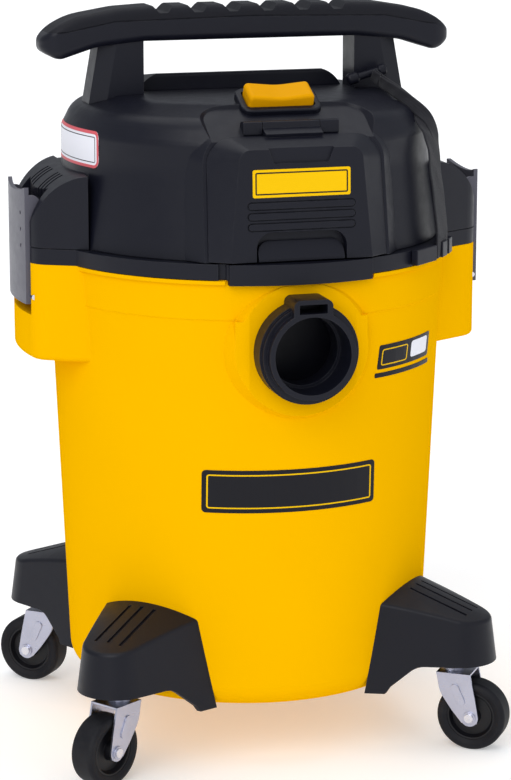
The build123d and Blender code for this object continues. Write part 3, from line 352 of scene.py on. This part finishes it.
def frame_line(wide, high, corner, thick, skew=0.0):
    """Points and faces of a thin line round a rounded rectangle."""
    outline = []
    for quarter, (sx, sz) in enumerate(((1, 1), (-1, 1), (-1, -1), (1, -1))):
        for i in range(CORNER_STEPS + 1):
            turn = pi / 2 * (quarter + i / CORNER_STEPS)
            outline.append((sx * (wide / 2 - corner) + corner * cos(turn),
                            sz * (high / 2 - corner) + corner * sin(turn), cos(turn), sin(turn)))
    dense = []
    for i, (x, z, nx, nz) in enumerate(outline):
        x2, z2, nx2, nz2 = outline[(i + 1) % len(outline)]
        steps = max(1, round(hypot(x2 - x, z2 - z) / LINE_STEP))
        for k in range(steps):
            f = k / steps
            dense.append((x + (x2 - x) * f, z + (z2 - z) * f, nx + (nx2 - nx) * f, nz + (nz2 - nz) * f))
    points, faces = [], []
    for x, z, nx, nz in dense:
        points.append((x + skew * z, z))
        points.append((x - thick * nx + skew * z, z - thick * nz))
    count = len(dense)
    for i in range(count):
        j = (i + 1) % count
        faces.append((2 * i, 2 * i + 1, 2 * j + 1, 2 * j))
    return points, faces


def drape(name, shape, cast, tree, material, body, lift=0.0003, depth=0.0005):
    """Lays a flat shape on a surface. cast turns a point of the shape into a ray's start and direction."""
    points, faces = shape
    mesh = bmesh.new()
    placed = []
    for point in points:
        start, direction = cast(*point)
        hit, normal, _, _ = tree.ray_cast(start, direction)
        if hit is None:
            raise ValueError(f"{name} misses its surface at {point}")
        if normal.dot(direction) > 0:
            normal = -normal
        placed.append((hit, normal))
    top = [mesh.verts.new(hit + normal * lift) for hit, normal in placed]
    low = [mesh.verts.new(hit + normal * (lift - depth)) for hit, normal in placed]
    rim = {}
    for face in faces:
        mesh.faces.new([top[i] for i in face])
        mesh.faces.new([low[i] for i in reversed(face)])
        for a, b in zip(face, face[1:] + face[:1]):
            rim[(a, b)] = rim.get((a, b), 0) + 1
    for a, b in rim:
        if (b, a) not in rim:
            mesh.faces.new((top[b], top[a], low[a], low[b]))
    bmesh.ops.recalc_face_normals(mesh, faces=mesh.faces)
    data = bpy.data.meshes.new(name)
    mesh.to_mesh(data)
    mesh.free()
    add_piece(name, data, material, body)


def from_front(x0, z0):
    """Rays that run straight back from in front of a spot."""
    def cast(u, v):
        return Vector((x0 + u, -RAY_START, z0 + v)), Vector((0, 1, 0))
    return cast


def from_side(heading, radius, z0):
    """Rays that run in towards the vacuum's axis, u along the arc at a radius."""
    def cast(u, v):
        turn = radians(heading) + u / radius
        out = Vector((cos(turn), sin(turn), 0))
        return out * RAY_START + Vector((0, 0, z0 + v)), -out
    return cast


def decals():
    """Plain generic plates where the real one carries its printing."""
    tank = surface_tree("tank_shell")
    where = from_front(-0.004, 0.2215)
    drape("tank_plate", flat_panel(0.134, 0.033, 0.003), where, tank, PRINT_BLACK, "tank")
    drape("tank_plate_line", frame_line(0.1275, 0.0265, 0.002, 0.0011), where, tank, PRINT_YELLOW, "tank",
          lift=OVER_PLATE)
    badge = from_front(0.092, 0.3165)
    drape("tank_badge", flat_panel(0.055, 0.0185, 0.0015, 24, 4, skew=0.12), badge, tank, PRINT_BLACK, "tank")
    tab = from_front(0.107, 0.3172)
    drape("tank_badge_tab", flat_panel(0.019, 0.0125, 0.002, 10, 4, skew=0.12), tab, tank,
          PRINT_WHITE, "tank", lift=OVER_PLATE)
    square = from_front(0.0805, 0.3162)
    drape("tank_badge_line", frame_line(0.026, 0.0125, 0.002, 0.0009, skew=0.12), square, tank, PRINT_YELLOW,
          "tank", lift=OVER_PLATE)
    drape("tank_badge_bar", flat_panel(0.058, 0.0035, 0.0008, 24, 2), from_front(0.0905, 0.3028), tank,
          PRINT_BLACK, "tank")

    door = surface_tree("storage_door")
    where = from_front(0.0, 0.4535)
    drape("door_plate", flat_panel(0.0745, 0.0205, 0.0015, 24, 4), where, door, PRINT_YELLOW, "door")
    drape("door_plate_line", frame_line(0.0705, 0.0165, 0.0012, 0.001), where, door, PRINT_BLACK, "door",
          lift=OVER_PLATE)

    cover = surface_tree("head_cover")
    where = from_side(184.5, 0.142, 0.4695)
    drape("head_label", flat_panel(0.096, 0.0275, 0.006, 40, 6), where, cover, PRINT_WHITE, "head")
    drape("head_label_edge", frame_line(0.096, 0.0275, 0.006, 0.0022), where, cover, PRINT_RED, "head",
          lift=OVER_PLATE)
    drape("head_label_line", frame_line(0.0875, 0.0195, 0.0015, 0.0006), where, cover, PRINT_BLACK, "head",
          lift=OVER_PLATE)


# ----------------------------------------------------------------- strap
TANGENT = (0.607, 0.794, 0.0)
STRAP_WIDE = 25.0
STRAP_HALF_THICK = 0.75
STRAP_ROWS_EACH = 12
STRAP_ACROSS = 24
LAYER_RISE = 2.1
LOOK_AHEAD = 0.02
RIPPLE = 0.25
EDGE_SHARE = 0.45
# Centre in millimetres, direction across the band, and how far it is folded in three.
STRAP_SECTIONS = [
    ((127.8, -97.6, 384.5), TANGENT, 0.0),
    ((127.6, -98.2, 405.0), TANGENT, 0.0),
    ((125.4, -95.8, 430.0), TANGENT, 0.04),
    ((123.2, -93.2, 452.0), TANGENT, 0.06),
    ((121.8, -91.4, 470.0), (0.60, 0.78, 0.12), 0.12),
    ((119.0, -88.5, 482.5), (0.52, 0.68, 0.50), 0.35),
    ((114.6, -82.5, 492.0), (0.42, 0.42, 0.80), 0.62),
    ((109.2, -72.0, 500.0), (0.40, 0.10, 0.90), 0.85),
    ((104.4, -60.0, 505.6), (0.35, -0.10, 0.93), 1.0),
    ((100.6, -48.0, 509.6), (0.25, -0.25, 0.93), 1.0),
    ((97.4, -38.0, 513.0), (0.10, -0.35, 0.93), 1.0),
    ((94.8, -30.8, 516.5), (0.00, -0.50, 0.86), 1.0),
]


def smooth_between(values, f):
    """Catmull-Rom interpolation of a list of vectors at a fractional index."""
    i = min(int(f), len(values) - 2)
    t = f - i
    before = values[max(i - 1, 0)]
    start, end = values[i], values[i + 1]
    after = values[min(i + 2, len(values) - 1)]
    return 0.5 * (2 * start + (end - before) * t + (2 * before - 5 * start + 4 * end - after) * t ** 2
                  + (3 * start - before - 3 * end + after) * t ** 3)


def folded_line(fold, half, steps):
    """Points across the band, flat at fold 0 and lying in three layers at fold 1."""
    line = []
    for k in range(steps + 1):
        u = 2 * k / steps - 1
        line.append((half * ((1 - fold) * u - fold * sin(1.5 * pi * u)), LAYER_RISE * fold * u))
    return line


def fitted_line(fold, steps):
    """The folded line whose length is the webbing's own width."""
    low, high = 2.0, STRAP_WIDE
    for _ in range(18):
        middle = (low + high) / 2
        line = folded_line(fold, middle, steps)
        length = sum(hypot(x2 - x, y2 - y) for (x, y), (x2, y2) in zip(line, line[1:]))
        low, high = (middle, high) if length < STRAP_WIDE else (low, middle)
    return line


def strap():
    """Webbing from the rim's guides, up past the dome's edge, then gathered in folds to the toggle."""
    centres = [Vector(centre) for centre, _, _ in STRAP_SECTIONS]
    sides = [Vector(side) for _, side, _ in STRAP_SECTIONS]
    folds = [Vector((fold, 0, 0)) for _, _, fold in STRAP_SECTIONS]
    rows = STRAP_ROWS_EACH * (len(centres) - 1)
    across = STRAP_ACROSS
    grid, lengths = [], [0.0]
    last = None
    for row in range(rows + 1):
        f = row * (len(centres) - 1) / rows
        centre = smooth_between(centres, f)
        ahead = (smooth_between(centres, min(f + LOOK_AHEAD, len(centres) - 1))
                 - smooth_between(centres, max(f - LOOK_AHEAD, 0)))
        ahead.normalize()
        side = smooth_between(sides, f)
        side = (side - ahead * side.dot(ahead)).normalized()
        outward = side.cross(ahead).normalized()
        if outward.dot(Vector((0.3, -0.9, 0.2))) < 0:
            outward = -outward
        line = fitted_line(min(1.0, max(0.0, smooth_between(folds, f).x)), across)
        ripple = RIPPLE * min(1.0, f / 4)
        points = [centre + side * x + outward * (y + ripple * sin(f * 5 + x / 3)) for x, y in line]
        normals = []
        for k in range(across + 1):
            along = points[min(k + 1, across)] - points[max(k - 1, 0)]
            normals.append(ahead.cross(along).normalized())
        if normals[0].dot(outward) < 0:
            normals = [-normal for normal in normals]
        grid.append((points, normals))
        if last is not None:
            lengths.append(lengths[-1] + (centre - last).length)
        last = centre
    vertices, uvs = [], []
    for face_side in (1, -1):
        for row, (points, normals) in enumerate(grid):
            for k in range(across + 1):
                edge = STRAP_HALF_THICK * (EDGE_SHARE if k in (0, across) else 1.0)
                vertices.append((points[k] + normals[k] * edge * face_side) * MM)
                uvs.append((STRAP_WIDE * k / across * MM, lengths[row] * MM))
    faces = []
    wide = across + 1
    back = len(grid) * wide
    for row in range(rows):
        for k in range(across):
            a = row * wide + k
            faces.append((a, a + 1, a + wide + 1, a + wide))
            faces.append((back + a, back + a + wide, back + a + wide + 1, back + a + 1))
        for k in (0, across):
            a = row * wide + k
            quad = (a, a + wide, back + a + wide, back + a)
            faces.append(quad if k == 0 else tuple(reversed(quad)))
    for row in (0, rows):
        for k in range(across):
            a = row * wide + k
            quad = (a, back + a, back + a + 1, a + 1)
            faces.append(quad if row == 0 else tuple(reversed(quad)))
    mesh = smooth_mesh("strap_webbing", vertices, faces, uvs)
    piece = add_piece("strap_webbing", mesh, MATERIALS["webbing_black"], "head")
    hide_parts("strap")


# ---------------------------------------------------------------- stage
WORLD_COLOUR = (0.90, 0.94, 1.0, 1.0)
WORLD_STRENGTH = 0.44
FLOOR_REACH = 40.0
FLOOR_GLOW = 0.30
# Name, heading and height in degrees, width in degrees, strength.
SUNS = (("key", 232, 36, 45, 1.5), ("fill", 320, 24, 70, 0.55), ("top", 100, 78, 60, 1.1))
CAMERA_PLACE = (-602.4, -2095.1, 753.7)
CAMERA_LOOK = (0.2732, 0.9369, -0.2181)


def soft_sun(name, heading, height, wide, strength):
    data = bpy.data.lights.new(name, "SUN")
    data.energy = strength
    data.angle = radians(wide)
    sun = bpy.data.objects.new(name, data)
    towards = Vector((cos(radians(heading)) * cos(radians(height)),
                      sin(radians(heading)) * cos(radians(height)), sin(radians(height))))
    sun.rotation_euler = towards.to_track_quat("Z", "Y").to_euler()
    bpy.context.scene.collection.objects.link(sun)


def studio():
    """Pale floor, white surroundings and three soft lights."""
    scene = bpy.context.scene
    scene.view_settings.view_transform = "Standard"
    world = bpy.data.worlds.new("studio")
    scene.world = world
    world.use_nodes = True
    background = world.node_tree.nodes["Background"]
    background.inputs["Color"].default_value = WORLD_COLOUR
    background.inputs["Strength"].default_value = WORLD_STRENGTH

    floor_mesh = bpy.data.meshes.new("floor")
    corners = [(x * FLOOR_REACH, y * FLOOR_REACH, 0) for x, y in ((-1, -1), (1, -1), (1, 1), (-1, 1))]
    floor_mesh.from_pydata(corners, [], [(0, 1, 2, 3)])
    floor = bpy.data.objects.new("floor", floor_mesh)
    scene.collection.objects.link(floor)
    material, tree, shader = new_material("floor")
    tone = mix_colour(tree, noise(tree, place(tree), scale=3.0), (0.78, 0.78, 0.78), (0.80, 0.80, 0.80))
    link(tree, tone, shader.inputs["Base Color"])
    shader.inputs["Roughness"].default_value = 0.9
    shader.inputs["Specular IOR Level"].default_value = 0.1
    shader.inputs["Emission Color"].default_value = (1.0, 1.0, 1.0, 1.0)
    shader.inputs["Emission Strength"].default_value = FLOOR_GLOW
    floor_mesh.materials.append(material)

    for sun in SUNS:
        soft_sun(*sun)


def photo_camera():
    """The photo's camera, as solved from the object's outlines."""
    data = bpy.data.cameras.new("camera")
    data.sensor_width = SENSOR
    data.lens = FOCAL_PIXELS / IMAGE_LONG_SIDE * SENSOR
    data.clip_end = 50
    camera = bpy.data.objects.new("camera", data)
    camera.location = Vector(CAMERA_PLACE) * MM
    camera.rotation_euler = Vector(CAMERA_LOOK).to_track_quat("-Z", "Y").to_euler()
    bpy.context.scene.collection.objects.link(camera)
    bpy.context.scene.camera = camera


dress_cad_nodes()
decals()
strap()
studio()
photo_camera()
